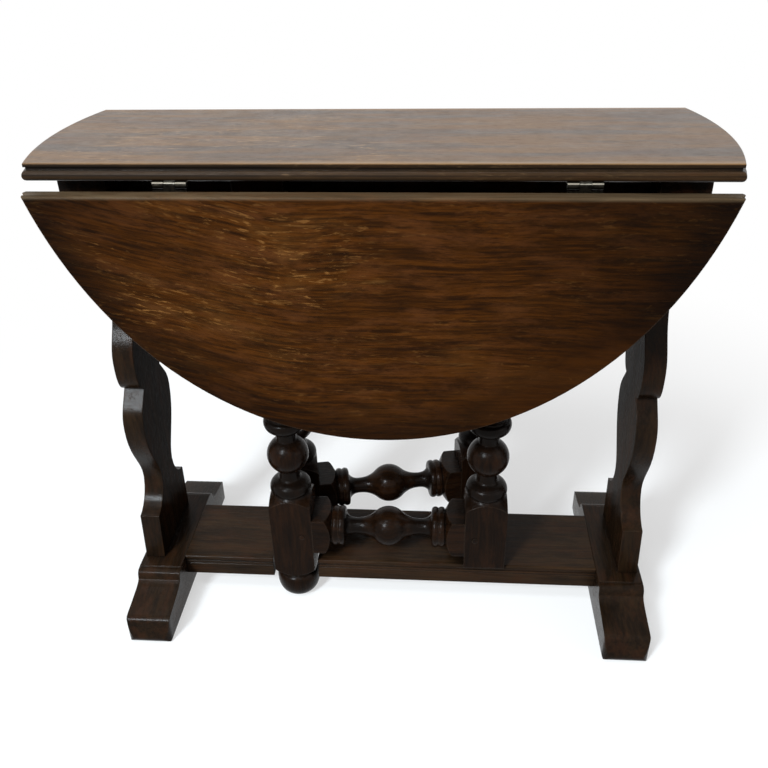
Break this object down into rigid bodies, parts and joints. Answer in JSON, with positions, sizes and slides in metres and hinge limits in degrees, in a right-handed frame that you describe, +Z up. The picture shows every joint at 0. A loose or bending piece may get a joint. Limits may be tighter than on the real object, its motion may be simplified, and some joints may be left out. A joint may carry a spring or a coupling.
{
  "type": "gateleg coffee table",
  "caption": "Small dark oak gateleg table: oval drop-leaf top with a moulded edge, shaped plank ends on toed feet, a shelf stretcher, and turned gates that swing out on pivots.",
  "frame": {"origin": "on the floor, below the middle of the table", "axes": "+X along the length of the top, towards the table's right; -Y towards the front leaf; +Z up"},
  "size_m": [0.644, 0.276, 0.556],
  "materials": {
    "top_oak": "satin",
    "dark_oak": "semi-gloss",
    "turned_oak": "semi-gloss",
    "old_brass": "dull",
    "screw_steel": "dull"
  },
  "bodies": {
    "frame": {"top_plank": "top_oak", "left_foot": "dark_oak", "right_foot": "dark_oak", "left_trestle": "dark_oak", "right_trestle": "dark_oak", "left_bearer": "dark_oak", "right_bearer": "dark_oak", "front_top_rail": "dark_oak", "rear_top_rail": "dark_oak", "shelf": "dark_oak", "top_screws": "screw_steel", "front_left_hinge_plate": "old_brass", "front_left_hinge_pin": "screw_steel", "front_right_hinge_plate": "old_brass", "front_right_hinge_pin": "screw_steel", "rear_left_hinge_plate": "old_brass", "rear_left_hinge_pin": "screw_steel", "rear_right_hinge_plate": "old_brass", "rear_right_hinge_pin": "screw_steel", "front_hinge_screws": "screw_steel", "rear_hinge_screws": "screw_steel"},
    "front_drop_leaf": {"front_leaf": "top_oak", "front_left_leaf_plate": "old_brass", "front_right_leaf_plate": "old_brass", "front_leaf_screws": "screw_steel"},
    "rear_drop_leaf": {"rear_leaf": "top_oak", "rear_left_leaf_plate": "old_brass", "rear_right_leaf_plate": "old_brass", "rear_leaf_screws": "screw_steel"},
    "front_gate": {"front_gate_leg": "turned_oak", "front_gate_post": "turned_oak", "front_gate_low_rail": "turned_oak", "front_gate_high_rail": "dark_oak", "front_gate_pegs": "turned_oak"},
    "rear_gate": {"rear_gate_leg": "turned_oak", "rear_gate_post": "turned_oak", "rear_gate_low_rail": "turned_oak", "rear_gate_high_rail": "dark_oak", "rear_gate_pegs": "turned_oak"}
  },
  "joints": [
    {"name": "front_leaf_hinge", "type": "hinge", "parent": "frame", "child": "front_drop_leaf", "pos_m": [0, -0.1006, 0.5365], "axis": [-1, 0, 0], "range_deg": [0, 90]},
    {"name": "rear_leaf_hinge", "type": "hinge", "parent": "frame", "child": "rear_drop_leaf", "pos_m": [0, 0.1006, 0.5365], "axis": [1, 0, 0], "range_deg": [0, 90]},
    {"name": "front_gate_pivot", "type": "hinge", "parent": "frame", "child": "front_gate", "pos_m": [0.115, -0.0304, 0.058], "axis": [0, 0, 1], "range_deg": [-1, 10]},
    {"name": "rear_gate_pivot", "type": "hinge", "parent": "frame", "child": "rear_gate", "pos_m": [-0.115, 0.0304, 0.058], "axis": [0, 0, 1], "range_deg": [-11, 0]}
  ]
}
